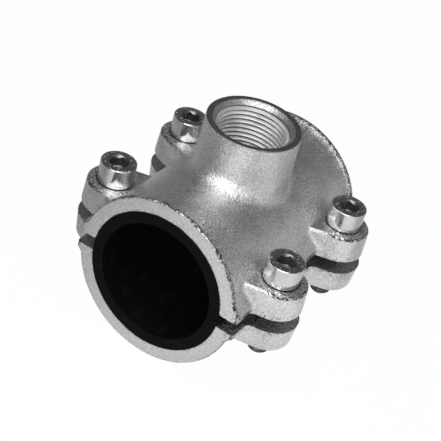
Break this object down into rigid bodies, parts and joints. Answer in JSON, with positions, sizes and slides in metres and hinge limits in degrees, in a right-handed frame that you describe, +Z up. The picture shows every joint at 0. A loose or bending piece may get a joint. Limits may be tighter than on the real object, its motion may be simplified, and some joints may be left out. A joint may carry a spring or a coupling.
{
  "type": "branch outlet fitting",
  "caption": "Split cast saddle clamped round a steel pipe on a rubber sleeve by socket cap screws, with a female-threaded branch outlet standing on its upper half.",
  "frame": {"origin": "where the axis of the run meets the axis of the outlet", "axes": "+Y along the run, +Z up the outlet, +X to the side of the gap that the tongue of the sleeve fills"},
  "size_m": [0.0916, 0.0872, 0.0782],
  "materials": {
    "casting": "bright zinc plate over a fine cast skin",
    "screw": "bright zinc plate on a turned surface",
    "sleeve": "matt black moulded rubber"
  },
  "bodies": {
    "root": {"upper_casting": "casting", "lower_casting": "casting", "sleeve_gasket": "sleeve", "screw_front_left": "screw", "screw_front_right": "screw", "screw_back_left": "screw", "screw_back_right": "screw"}
  },
  "joints": []
}
